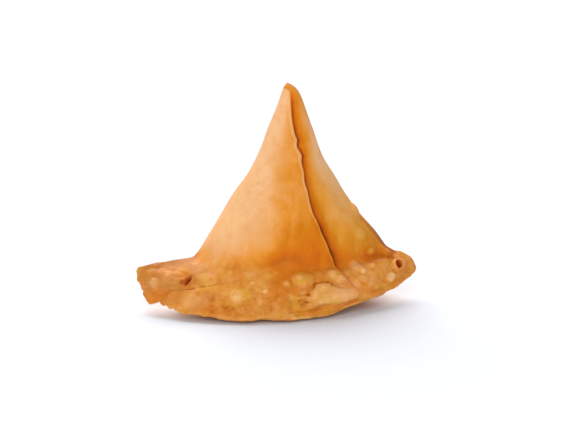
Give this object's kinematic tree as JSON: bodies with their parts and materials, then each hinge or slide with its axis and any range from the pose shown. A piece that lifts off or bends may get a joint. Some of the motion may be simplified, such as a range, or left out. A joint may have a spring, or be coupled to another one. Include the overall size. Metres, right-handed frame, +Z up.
{
  "type": "samosa",
  "caption": "Upright fried savoury pastry: a filled cone of dough with a lapped seam, pinched shut along a flared, blistered rim with two ears.",
  "frame": {"origin": "middle of the bounding box in plan, on the flat underside that the piece rests on", "axes": "+X to the right along the rim, from ear to ear; +Y from the lapped front to the back; +Z up to the tip"},
  "size_m": [0.0944, 0.0506, 0.0751],
  "materials": {
    "fried_crust": "satin"
  },
  "bodies": {
    "root": {"samosa": "fried_crust"}
  },
  "joints": []
}
